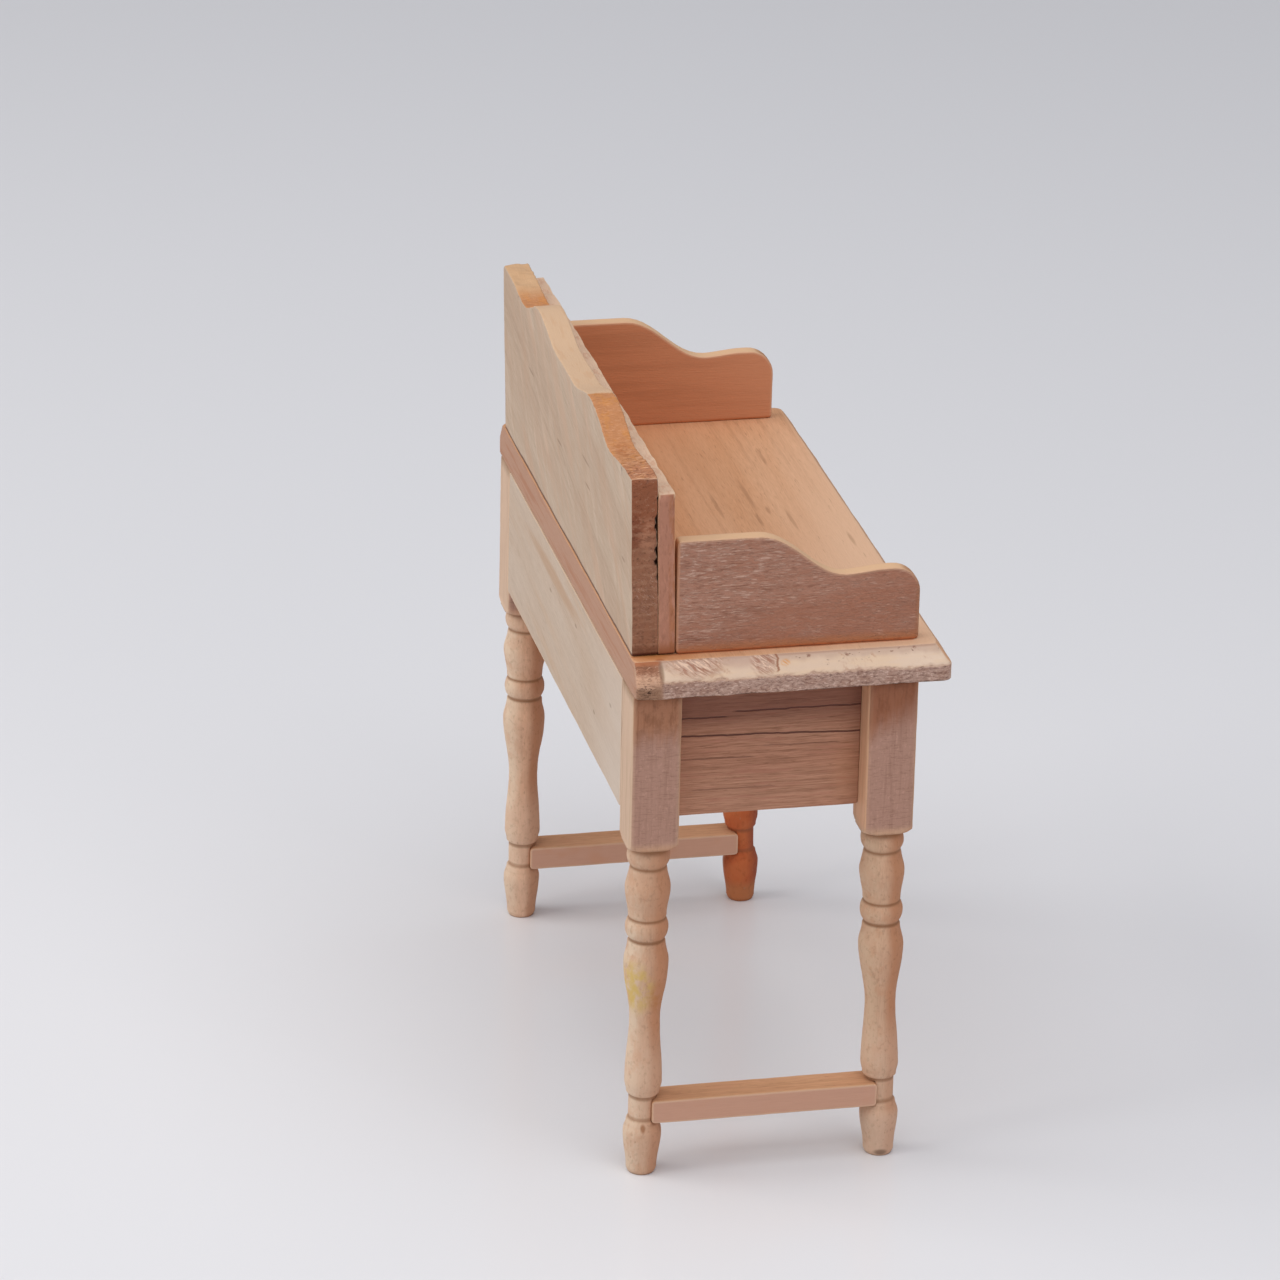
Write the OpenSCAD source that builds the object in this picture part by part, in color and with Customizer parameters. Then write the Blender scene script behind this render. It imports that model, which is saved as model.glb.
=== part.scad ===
// Miniature washstand-style side table, 1:12 dolls' house scale.
// Turned legs, a deep frieze holding two drawers, a bevelled top with a low gallery at each end
// and a double backboard with a waved crest. Bare, unfinished wood, glued together.
// The front faces -Y and the ends face -X (left) and +X (right). The floor is z = 0.

/* [Top board] */
// Length of the top board, end to end
top_l = 87.8; // [84:0.1:110]
// Depth of the top board, front to back
top_d = 40.6; // [39:0.1:44]
// Thickness of the top board
top_t = 4.7; // [3.5:0.1:6]
// Height of the upper surface above the floor
top_z = 72.1; // [68:0.1:78]
// Width of the bevel along the front and both ends
bevel_run = 1.7; // [0.5:0.1:2]
// Height of the square nose left under the bevel
nose_h = 2.4; // [1:0.1:2.8]

/* [Frame] */
// Side of the square post at the top of each leg
post = 6.35; // [5.5:0.05:7]
// Distance between leg centres along the length
leg_span_x = 78.4; // [74:0.1:79]
// Distance between leg centres, front to back
leg_span_y = 30.3; // [28:0.1:31]
// Height of the shoulder where the square post begins
shoulder_z = 46.1; // [45:0.1:47]
// Forward lean of the turned part of the front legs, in degrees
front_splay = 1.4; // [0:0.1:2]
// Height of the lower edge of the end aprons
apron_z = 49.2; // [48:0.1:50]
// Height of the lower edge of the back panel
panel_z = 50; // [49:0.1:50.5]
// Thickness of the aprons and the back panel
apron_t = 2.2; // [1.5:0.1:2.4]
// Distance of each end apron behind the outer face of its posts
apron_inset = 3.8; // [3:0.1:3.9]

/* [End stretchers] */
// Width of a stretcher along the length of the table
stretcher_w = 4.3; // [3.8:0.1:5]
// Height of a stretcher
stretcher_h = 3.1; // [2:0.1:3.2]
// Height of the underside of a stretcher
stretcher_z = 7.5; // [7.2:0.1:7.8]

/* [Gallery and backboards] */
// Height of the gallery at the back
gallery_h = 15; // [13:0.1:18]
// Depth of the gallery, front to back
gallery_d = 31.1; // [28:0.1:33]
// Thickness of the gallery
gallery_t = 2; // [1.5:0.1:3]
// Distance of the gallery behind the end of the top
gallery_inset = 3.5; // [2.5:0.1:5]
// Height of the outer backboard at its ends
crest_end_h = 23.6; // [20:0.1:26]
// Height of the two waves of the crest
crest_wave_h = 25.4; // [23:0.1:28]
// Thickness of the outer backboard
outer_t = 3.4; // [2.5:0.1:3.6]
// Height of the inner backboard
inner_h = 21.5; // [16:0.1:22]
// Thickness of the inner backboard
inner_t = 2.1; // [1.5:0.1:2.3]
// Backward lean of both backboards, in degrees
rake = 1.4; // [0:0.1:2]

/* [Drawers] */
// Thickness of a drawer front
drawer_front_t = 2.4; // [2:0.1:3]
// Thickness of a drawer side and back
drawer_side_t = 1.6; // [1.2:0.1:2]
// Clearance round a drawer
drawer_gap = 0.2; // [0.1:0.05:0.3]
// Diameter of a drawer knob
knob_d = 3.6; // [3:0.1:4.2]
// How far both drawers are pulled out
drawer_pull = 0; // [0:1:22]

/* [Hidden] */
$fn = 48;

// Colours of the bare wood
pale = "#e3c6a0";
tan_wood = "#d3a27a";
warm = "#c98d62";

// Heights
top_under = top_z - top_t;
bevel_drop = top_t - nose_h;
arris = 0.3;

// Depth positions: the leaning crest passes behind the top, and the whole is centred on y = 0
board_setback = 0.17;
crest_lean = max(0, crest_wave_h * sin(rake) - board_setback);
y_front = -(top_d + crest_lean) / 2;
y_back = y_front + top_d;
leg_y_back = y_back - post / 2;
leg_y_front = leg_y_back - leg_span_y;
post_face_y = leg_y_front - post / 2;
post_in_x = leg_span_x / 2 - post / 2;

// Front frame of the drawer openings
rail_face_y = post_face_y + 0.5;
rail_t = 2.4;
rail_top_h = 2;
rail_bottom_h = 2.4;
rail_bottom_z = 49.6;
floor_t = 1.6;
floor_z = rail_bottom_z + rail_bottom_h - floor_t;
open_z0 = rail_bottom_z + rail_bottom_h;
open_z1 = top_under - rail_top_h;
stile_w = 2.4;
rail_back_y = rail_face_y + rail_t;
panel_in_y = y_back - apron_t;

// Drawers: the front fills the opening, the box behind it is a little narrower and lower
drawer_x0 = stile_w / 2 + drawer_gap;
drawer_x1 = post_in_x - drawer_gap;
drawer_z0 = open_z0 + 0.15;
drawer_front_h = open_z1 - drawer_gap - drawer_z0;
drawer_box_h = 11;
drawer_back_y = panel_in_y - 0.3;
drawer_box_y = rail_face_y + drawer_front_t;
drawer_bottom_t = 1;
box_x0 = drawer_x0 + 0.1;
box_x1 = drawer_x1 - 0.1;
knob_stem_d = 1.4;
knob_hole_d = 1.5;
knob_depth = 1.5;
knob_reach = 3.2;

// Half the length of both backboards, flush with the outer faces of the galleries
board_half_l = top_l / 2 - gallery_inset;

// Smooth S-shaped step from a to b as t goes from 0 to 1
function ease(a, b, t) = a + (b - a) * (1 - cos(180 * t)) / 2;

// Points of a smooth wave through a list of [position, height] stations
function wave(st, n = 10) = [
    for (i = [0 : len(st) - 2], j = [0 : n - 1])
        [st[i][0] + (st[i + 1][0] - st[i][0]) * j / n, ease(st[i][1], st[i + 1][1], j / n)],
    st[len(st) - 1]
];

// Points of an arc about a centre, from angle a0 to angle a1
function arc(c, r, a0, a1, n = 8) = [
    for (i = [0 : n]) c + r * [cos(a0 + (a1 - a0) * i / n), sin(a0 + (a1 - a0) * i / n)]
];

// Points of a turned bead between two heights that swells from radius r0 to radius r1
function bead(z0, z1, r0, r1, n = 10) = [
    for (i = [0 : n]) [r0 + (r1 - r0) * pow(sin(180 * i / n), 0.7), z0 + (z1 - z0) * i / n]
];

// Points of a smooth turned length through a list of [height, radius] stations
function turned(st, n = 6) = [for (p = wave(st, n)) [p[1], p[0]]];

// Outline of one turned leg below the square post, floor to shoulder
leg_profile = concat(
    [[0, -0.4], [1.55, -0.4], [1.8, 0.25]],
    turned([[0.5, 1.95], [5.8, 2.48], [7.5, 2.1]], 7),
    turned([[7.8, 1.85], [11.1, 1.85]], 1),
    turned([[11.4, 2.15], [13, 2.42], [21.7, 1.97], [29.9, 2.88], [32.7, 2.42]], 8),
    [[2.2, 33]],
    bead(33.2, 36, 2.3, 2.74),
    [[2.2, 36.1]],
    turned([[36.3, 2.42], [40.2, 2.9], [42.8, 2.42]], 7),
    [[2.25, 43.1]],
    bead(43.4, 45.8, 2.35, 2.76),
    [[2.35, 45.9], [2.35, shoulder_z + 2], [0, shoulder_z + 2]]
);

// Outline of the rounded shoulder that the lathe leaves on the square post
dome_h = 1.8;
dome_profile = concat(
    [[0, shoulder_z - 0.1], [2.5, shoulder_z - 0.1]],
    [for (i = [0 : 9]) [2.7 + 1.95 * sin(10 * i), shoulder_z + dome_h * (1 - cos(10 * i))]],
    [[4.8, shoulder_z + 3], [4.8, top_under], [0, top_under]]
);

module box(x0, x1, y0, y1, z0, z1) {
    translate([x0, y0, z0]) cube([x1 - x0, y1 - y0, z1 - z0]);
}

// A box given for the right-hand side, mirrored to the left when side is -1
module side_box(side, x0, x1, y0, y1, z0, z1) {
    box(min(side * x0, side * x1), max(side * x0, side * x1), y0, y1, z0, z1);
}

module tabletop() {
    h = top_l / 2;
    color(warm) translate([0, 0, top_under]) intersection() {
        translate([0, y_back + 1, 0]) rotate([90, 0, 0]) linear_extrude(top_d + 2)
            polygon([
                [-h + arris, 0], [h - arris, 0], [h, arris], [h, nose_h], [h - bevel_run, top_t],
                [-h + bevel_run, top_t], [-h, nose_h], [-h, arris]
            ]);
        translate([-h - 1, 0, 0]) rotate([90, 0, 90]) linear_extrude(top_l + 2)
            polygon([
                [y_front + arris, 0], [y_back, 0], [y_back, top_t],
                [y_front + bevel_run, top_t], [y_front, nose_h], [y_front, arris]
            ]);
    }
}

// A board standing on the top, leaning back, with the back face at distance y from the top's edge
module leaning_board(y, t) {
    difference() {
        translate([0, y_back - y, top_z]) rotate([90 - rake, 0, 0]) linear_extrude(t) children();
        box(-top_l, top_l, y_back - 20, y_back + 5, top_z - 10, top_z);
    }
}

module backboard_outer() {
    half = [
        [0, crest_end_h - 0.2], [5, crest_end_h - 0.2], [16.5, crest_wave_h],
        [27, crest_end_h - 0.9], [board_half_l - 3.5, crest_end_h]
    ];
    right = concat(wave(half), arc([board_half_l - 0.6, crest_end_h - 0.6], 0.6, 90, 0, 4));
    color(pale) leaning_board(board_setback, outer_t) polygon(concat(
        [[board_half_l, -1], [-board_half_l, -1]],
        [for (i = [len(right) - 1 : -1 : 1]) [-right[i][0], right[i][1]]],
        right
    ));
}

module backboard_inner() {
    color(tan_wood) leaning_board(board_setback + outer_t / cos(rake), inner_t)
        polygon([
            [-board_half_l, -1], [board_half_l, -1], [board_half_l, inner_h], [-board_half_l, inner_h]
        ]);
}

// Gallery outline, drawn from its back edge (0) towards the front
module gallery(side) {
    back_y = y_back - board_setback - (outer_t + inner_t) / cos(rake) - 0.05;
    corner_r = 3.4;
    low_h = gallery_h - 5.65;
    lip_h = gallery_h - 5.25;
    step = [[10.5, gallery_h], [21.6, low_h], [gallery_d - corner_r - 1, lip_h]];
    outline = concat(
        [[0, 0]],
        arc([0.6, gallery_h - 0.6], 0.6, 180, 90, 4),
        wave(step, 12),
        arc([gallery_d - corner_r, lip_h - corner_r], corner_r, 90, 0, 8),
        [[gallery_d, 0]]
    );
    x0 = side > 0 ? board_half_l - gallery_t : -board_half_l;
    color(tan_wood) translate([x0, back_y, top_z]) rotate([90, 0, -90]) mirror([0, 0, 1])
        linear_extrude(gallery_t) polygon(outline);
}

module gallery_left() { gallery(-1); }
module gallery_right() { gallery(1); }

// One leg: a square post on a turned shaft, with a flat notch in the neck for the stretcher
module leg(side, row) {
    cy = row > 0 ? leg_y_back : leg_y_front;
    lean = row > 0 ? 0 : front_splay;
    color(pale) difference() {
        translate([side * leg_span_x / 2, cy, 0]) union() {
            intersection() {
                translate([-post / 2, -post / 2, shoulder_z - 0.1])
                    cube([post, post, top_under - shoulder_z + 0.1]);
                rotate_extrude() polygon(dome_profile);
            }
            translate([0, 0, shoulder_z]) rotate([-lean, 0, 0]) translate([0, 0, -shoulder_z])
                rotate_extrude() polygon(leg_profile);
        }
        box(-top_l, top_l, -top_d, top_d, -5, 0);
        stretcher_solid(side);
    }
}

module leg_front_left() { leg(-1, -1); }
module leg_front_right() { leg(1, -1); }
module leg_back_left() { leg(-1, 1); }
module leg_back_right() { leg(1, 1); }

module apron(side) {
    x1 = leg_span_x / 2 + post / 2 - apron_inset;
    color(warm) side_box(side, x1 - apron_t, x1, leg_y_front + post / 2, leg_y_back - post / 2,
        apron_z, top_under);
}

module apron_left() { apron(-1); }
module apron_right() { apron(1); }

module back_panel() {
    color(pale) box(-post_in_x, post_in_x, panel_in_y, y_back, panel_z, top_under);
}

// The stretcher stops a little short of each leg's axis
module stretcher_solid(side) {
    end_gap = 0.8;
    splay_y = (shoulder_z - stretcher_z - stretcher_h / 2) * tan(front_splay);
    cx = leg_span_x / 2;
    side_box(side, cx - stretcher_w / 2, cx + stretcher_w / 2, leg_y_front - splay_y + end_gap,
        leg_y_back - end_gap, stretcher_z, stretcher_z + stretcher_h);
}

module stretcher_left() { color(warm) stretcher_solid(-1); }
module stretcher_right() { color(warm) stretcher_solid(1); }

module front_rail_top() {
    color(tan_wood) box(-post_in_x, post_in_x, rail_face_y, rail_back_y, open_z1, top_under);
}

module front_rail_bottom() {
    color(tan_wood) box(-post_in_x, post_in_x, rail_face_y, rail_back_y, rail_bottom_z, open_z0);
}

module front_stile() {
    color(tan_wood) box(-stile_w / 2, stile_w / 2, rail_face_y, rail_back_y, open_z0, open_z1);
}

module centre_partition() {
    color(pale) box(-stile_w / 2, stile_w / 2, rail_back_y, panel_in_y, open_z0, top_under);
}

module drawer_floor() {
    color(pale) box(-post_in_x, post_in_x, rail_back_y, panel_in_y, floor_z, open_z0);
}

// Drawer parts, each drawn pulled out by drawer_pull
module drawer_front(side) {
    cx = side * (drawer_x0 + drawer_x1) / 2;
    cz = drawer_z0 + drawer_front_h / 2;
    color(tan_wood) translate([0, -drawer_pull, 0]) difference() {
        side_box(side, drawer_x0, drawer_x1, rail_face_y, drawer_box_y,
            drawer_z0, drawer_z0 + drawer_front_h);
        translate([cx, rail_face_y + knob_depth, cz]) rotate([90, 0, 0])
            cylinder(d = knob_hole_d, h = knob_depth + 1);
    }
}

module drawer_side(side, outer) {
    x = outer ? box_x1 - drawer_side_t : box_x0;
    color(pale) translate([0, -drawer_pull, 0])
        side_box(side, x, x + drawer_side_t, drawer_box_y, drawer_back_y,
            drawer_z0, drawer_z0 + drawer_box_h);
}

module drawer_back(side) {
    color(pale) translate([0, -drawer_pull, 0])
        side_box(side, box_x0 + drawer_side_t, box_x1 - drawer_side_t,
            drawer_back_y - drawer_side_t, drawer_back_y,
            drawer_z0 + drawer_bottom_t, drawer_z0 + drawer_box_h);
}

module drawer_bottom(side) {
    color(pale) translate([0, -drawer_pull, 0])
        side_box(side, box_x0 + drawer_side_t, box_x1 - drawer_side_t,
            drawer_box_y, drawer_back_y, drawer_z0, drawer_z0 + drawer_bottom_t);
}

// A turned knob whose stem is glued into the drawer front
module drawer_knob(side) {
    cx = side * (drawer_x0 + drawer_x1) / 2;
    cz = drawer_z0 + drawer_front_h / 2;
    r = knob_d / 2;
    outline = concat(
        [[0, 0.1], [knob_stem_d / 2, 0.1], [knob_stem_d / 2, knob_depth], [1.25, knob_depth],
         [1.25, knob_depth + 0.35], [0.85, knob_depth + 0.8]],
        [for (a = [-50 : 10 : 90]) [r * cos(a), knob_depth + 2.05 + 1.15 * sin(a)]]
    );
    color(tan_wood) translate([cx, rail_face_y + knob_depth - drawer_pull, cz])
        rotate([90, 0, 0]) rotate_extrude() polygon(outline);
}

module drawer_left_front() { drawer_front(-1); }
module drawer_left_side_outer() { drawer_side(-1, true); }
module drawer_left_side_inner() { drawer_side(-1, false); }
module drawer_left_back() { drawer_back(-1); }
module drawer_left_bottom() { drawer_bottom(-1); }
module drawer_left_knob() { drawer_knob(-1); }
module drawer_right_front() { drawer_front(1); }
module drawer_right_side_outer() { drawer_side(1, true); }
module drawer_right_side_inner() { drawer_side(1, false); }
module drawer_right_back() { drawer_back(1); }
module drawer_right_bottom() { drawer_bottom(1); }
module drawer_right_knob() { drawer_knob(1); }

tabletop();
backboard_outer();
backboard_inner();
gallery_left();
gallery_right();
leg_front_left();
leg_front_right();
leg_back_left();
leg_back_right();
apron_left();
apron_right();
back_panel();
stretcher_left();
stretcher_right();
front_rail_top();
front_rail_bottom();
front_stile();
centre_partition();
drawer_floor();
drawer_left_front();
drawer_left_side_outer();
drawer_left_side_inner();
drawer_left_back();
drawer_left_bottom();
drawer_left_knob();
drawer_right_front();
drawer_right_side_outer();
drawer_right_side_inner();
drawer_right_back();
drawer_right_bottom();
drawer_right_knob();
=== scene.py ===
import functools
import math

import bpy
import numpy as np
from mathutils import Matrix, Vector
from mathutils.geometry import delaunay_2d_cdt
from mathutils.noise import noise, noise_vector, seed_set


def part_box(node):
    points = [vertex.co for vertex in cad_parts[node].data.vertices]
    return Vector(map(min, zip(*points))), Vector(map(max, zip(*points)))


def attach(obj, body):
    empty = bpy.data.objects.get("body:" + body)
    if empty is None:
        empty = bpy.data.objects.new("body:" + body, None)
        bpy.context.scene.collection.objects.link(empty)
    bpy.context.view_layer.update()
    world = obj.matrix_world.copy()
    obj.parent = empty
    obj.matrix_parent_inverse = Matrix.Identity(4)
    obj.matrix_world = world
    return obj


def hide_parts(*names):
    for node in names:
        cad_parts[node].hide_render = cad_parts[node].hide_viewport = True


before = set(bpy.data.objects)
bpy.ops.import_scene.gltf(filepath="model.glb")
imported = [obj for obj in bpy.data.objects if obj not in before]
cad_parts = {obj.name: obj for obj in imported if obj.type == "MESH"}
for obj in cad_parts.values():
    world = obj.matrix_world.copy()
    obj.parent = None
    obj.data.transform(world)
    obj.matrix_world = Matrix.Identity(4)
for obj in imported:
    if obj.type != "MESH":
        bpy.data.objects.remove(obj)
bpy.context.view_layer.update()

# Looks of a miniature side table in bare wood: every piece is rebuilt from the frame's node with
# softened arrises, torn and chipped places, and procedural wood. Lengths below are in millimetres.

MM = 0.001
# noise_vector's offsets come from the clock unless a seed is set
seed_set(7)

# Shapes that the frame's boxes don't give
RAKE = math.radians(1.4)
OUTER_T = 3.4
INNER_T = 2.1
BEVEL_RUN = 1.7
NOSE_H = 2.4
SHOULDER_Z = 46.1
DOME_R0, DOME_SWELL, DOME_H = 2.7, 1.95, 1.8
FRONT_LEAN = math.radians(1.4)
POST_ARRIS = 0.35
STRETCHER_STOP = 0.8
STRETCHER_NOTCH = (7.45, 10.65)

# The boards' softened edges: flat rim beside the arris, and steps around the arris
SOFT_EDGE = 0.15
ARRIS_TURNS = 4

X, Y, Z = Vector((1, 0, 0)), Vector((0, 1, 0)), Vector((0, 0, 1))
LEAN_BACK = Vector((0, math.cos(RAKE), -math.sin(RAKE)))
BACK_PLANE = max(v.co @ LEAN_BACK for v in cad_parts["backboard_outer"].data.vertices) / MM


@functools.cache
def box_mm(node):
    """Lowest and highest corner of a CAD node, in millimetres."""
    return tuple(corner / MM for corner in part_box(node))


def add_object(name, data):
    """A new object in the scene for a mesh, a light or a camera."""
    made = bpy.data.objects.new(name, data)
    bpy.context.scene.collection.objects.link(made)
    return made


# ---- camera, floor and light

def place_camera():
    """The photograph's view: from the back left corner's side, above, with a long lens."""
    aim = Vector((0, 9.7, 57.0)) * MM
    distance = 824.3 * MM
    yaw, pitch, roll = (math.radians(a) for a in (-12.857, -22.731, 1.345))
    forward = Vector((math.cos(pitch) * math.cos(yaw), math.cos(pitch) * math.sin(yaw), math.sin(pitch)))
    right = forward.cross(Z).normalized()
    up = right.cross(forward)
    turned_right = right * math.cos(roll) + up * math.sin(roll)
    turned_up = up * math.cos(roll) - right * math.sin(roll)
    data = bpy.data.cameras.new("camera")
    data.sensor_width = 36
    data.lens = 177.2
    data.clip_start = 0.01
    data.clip_end = 20
    camera = add_object("camera", data)
    axes = Matrix((turned_right, turned_up, -forward)).transposed().to_4x4()
    camera.matrix_world = Matrix.Translation(aim - forward * distance) @ axes
    bpy.context.scene.camera = camera


def place_light(name, where, size, power, colour):
    """A square soft light aimed at the middle of the table."""
    data = bpy.data.lights.new(name, "AREA")
    data.shape = "SQUARE"
    data.size = size
    data.energy = power
    data.color = colour
    light = add_object(name, data)
    light.location = where
    aim = Vector((0, 0, 0.045))
    light.rotation_euler = (aim - light.location).to_track_quat("-Z", "Y").to_euler()


def place_studio():
    """A pale glossy floor, a cool sky and three square lights."""
    scene = bpy.context.scene
    scene.view_settings.view_transform = "Standard"
    world = bpy.data.worlds.new("studio")
    scene.world = world
    world.use_nodes = True
    backdrop = world.node_tree.nodes["Background"]
    backdrop.inputs["Color"].default_value = (0.93, 0.94, 1.0, 1)
    backdrop.inputs["Strength"].default_value = 0.36
    place_light("key", (0.05, 0.75, 0.5), 0.7, 4.2, (1.0, 0.97, 0.93))
    place_light("overhead", (-0.2, 0.0, 0.95), 1.0, 5.0, (1.0, 0.98, 0.96))
    place_light("fill", (-0.8, -0.3, 0.3), 0.6, 1.4, (1.0, 0.96, 0.94))
    mesh = bpy.data.meshes.new("floor")
    corners = [(-3, -3, 0), (3, -3, 0), (3, 3, 0), (-3, 3, 0)]
    mesh.from_pydata(corners, [], [(0, 1, 2, 3)])
    add_object("floor", mesh)
    paint = bpy.data.materials.new("floor_gloss")
    paint.use_nodes = True
    shader = paint.node_tree.nodes["Principled BSDF"]
    shader.inputs["Base Color"].default_value = (0.78, 0.79, 0.825, 1)
    shader.inputs["Roughness"].default_value = 0.22
    shader.inputs["Specular IOR Level"].default_value = 0.35
    mesh.materials.append(paint)


# ---- mesh building

def shifted(point, seed, size):
    """A point in millimetres as a place in the noise field, with its own field for each seed."""
    return Vector([p / s for p, s in zip(point, size)]) + Vector((17.3, 7.9, 3.1)) * seed


def bumpy(point, seed, size):
    """Noise about zero whose blobs have the given sizes in millimetres."""
    return noise(shifted(point, seed, size))


def uneven(point, seed, amount, grain):
    """Small unevenness of hand-sanded wood at a point in millimetres."""
    p = shifted(point, seed, (grain, grain, grain))
    return noise_vector(p) * amount + noise_vector(p * 4.3) * amount * 0.35


def make_piece(node, points, faces, body, material, seed, wobble, grain, marks, name=""):
    """Turns points in millimetres into a piece that stands for a CAD node and stays inside its box."""
    name = name or node + "_wood"
    lo, hi = box_mm(node)
    moved = []
    for p in points:
        q = p + uneven(p, seed, wobble, grain)
        moved.append([min(max(q[i], lo[i]), hi[i]) * MM for i in range(3)])
    mesh = bpy.data.meshes.new(name)
    mesh.from_pydata(moved, [], faces)
    mesh.validate()
    for label, values in marks.items():
        layer = mesh.attributes.new(label, "FLOAT", "POINT")
        layer.data.foreach_set("value", np.array(values, np.float32))
    mesh.shade_smooth()
    piece = add_object(name, mesh)
    mesh.materials.append(material)
    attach(piece, body)
    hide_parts(node)


def face_outline(node, normal):
    """The ordered corner points, in millimetres, of a CAD node's flat face that looks along normal."""
    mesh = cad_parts[node].data
    far = max(v.co @ normal for v in mesh.vertices)
    edges = {}
    for face in mesh.polygons:
        corners = [mesh.vertices[i].co for i in face.vertices]
        if face.normal @ normal < 0.999 or max(abs(c @ normal - far) for c in corners) > 0.02 * MM:
            continue
        loop = [tuple(round(x / MM, 3) for x in c) for c in corners]
        for _, a, b in neighbours(loop):
            if not edges.pop((b, a), False):
                edges[a, b] = True
    follow = {a: b for a, b in edges}
    start = min(follow)
    path = [start]
    while follow[path[-1]] != start:
        path.append(follow[path[-1]])
    return [Vector(p) for p in path]


def to_plane(points, normal):
    """Points in a plane as 2D, with the two axes and the offset that bring them back."""
    u = Z.cross(normal)
    u = (X if u.length < 0.01 else u).normalized()
    v = normal.cross(u)
    base = normal * (points[0] @ normal)
    return [Vector((p @ u, p @ v)) for p in points], u, v, base


def neighbours(path):
    """Each point of a closed outline between the points before and after it."""
    return zip(path[-1:] + path[:-1], path, path[1:] + path[:1])


def round_corners(path, radius, sharp=25):
    """Replaces each corner of a closed 2D outline that turns more than sharp degrees by a small arc."""
    out = []
    for before, p, after in neighbours(path):
        a = before - p
        b = after - p
        turn = 180 - math.degrees(a.angle(b))
        if turn < sharp:
            out.append(p)
            continue
        cut = min(radius, a.length * 0.45, b.length * 0.45)
        pa = p + a.normalized() * cut
        pb = p + b.normalized() * cut
        for t in (0, 0.25, 0.5, 0.75, 1):
            out.append(pa * (1 - t) ** 2 + p * 2 * t * (1 - t) + pb * t ** 2)
    return out


def resample(path, step):
    """Adds points along the long straight stretches of a closed 2D outline."""
    out = []
    for _, p, q in neighbours(path):
        count = max(1, round((q - p).length / step))
        out += [p.lerp(q, k / count) for k in range(count)]
    return out


def inset(path, distance):
    """A closed 2D outline, counter-clockwise, moved inwards."""
    out = []
    for before, p, after in neighbours(path):
        d0 = (p - before).normalized()
        d1 = (after - p).normalized()
        n0 = Vector((-d0.y, d0.x))
        n1 = Vector((-d1.y, d1.x))
        m = n0 + n1
        m = m / max(m.length_squared / 2, 0.5)
        out.append(p + m * distance)
    return out


def fill_face(path, step):
    """Triangles over a closed outline with points inside it at about step, as inner points and faces."""
    lo = Vector((min(p.x for p in path), min(p.y for p in path)))
    hi = Vector((max(p.x for p in path), max(p.y for p in path)))
    inner = []
    nx = max(1, round((hi.x - lo.x) / step))
    ny = max(1, round((hi.y - lo.y) / step))
    fence = np.array([(p.x, p.y) for p in path])
    ahead = np.roll(fence, -1, axis=0)
    side = ahead - fence
    for i in range(1, nx):
        for j in range(1, ny):
            stagger = 0.5 * (j % 2) - 0.25
            g = np.array((lo.x + (hi.x - lo.x) * (i + stagger) / nx, lo.y + (hi.y - lo.y) * j / ny))
            if np.hypot(*(fence - g).T).min() < step * 0.45:
                continue
            over = (fence[:, 1] > g[1]) != (ahead[:, 1] > g[1])
            with np.errstate(divide="ignore", invalid="ignore"):
                cross = fence[:, 0] + (g[1] - fence[:, 1]) * side[:, 0] / side[:, 1]
            if np.count_nonzero(over & (cross > g[0])) % 2:
                inner.append(Vector(g))
    n = len(path)
    points, _, faces, origin, _, _ = delaunay_2d_cdt(list(path) + inner, [], [list(range(n))], 1, 1e-6)
    extra, order = [], []
    for point, olds in zip(points, origin):
        rim = [k for k in olds if k < n]
        if rim:
            order.append(rim[0])
        else:
            order.append(n + len(extra))
            extra.append(point)
    return extra, [[order[k] for k in f] for f in faces]


def cells(rings, count):
    """The corners of each cell between rings of count points: two on one ring, two on the next."""
    for first in range(0, (rings - 1) * count, count):
        for i in range(first, first + count):
            j = first + (i - first + 1) % count
            yield i, j, j + count, i + count


def close_ring(path, ring, step, flip, points, faces, place):
    """Closes a ring with a grid. place puts its new 2D points in space. Gives how many there are."""
    inside, cap = fill_face(path, step)
    count = len(path)
    start, first = ring * count, len(points)
    points += [place(p) for p in inside]
    for f in cap:
        ids = tuple(start + k if k < count else first + k - count for k in f)
        faces.append(ids[::-1] if flip else ids)
    return len(inside)


def carve(points, values, wear):
    """Moves points by wear(point, value), which also gives the scar that is painted there."""
    worn = [wear(p, value) for p, value in zip(points, values)]
    return [p + shift for p, (shift, _) in zip(points, worn)], [scar for _, scar in worn]


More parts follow.
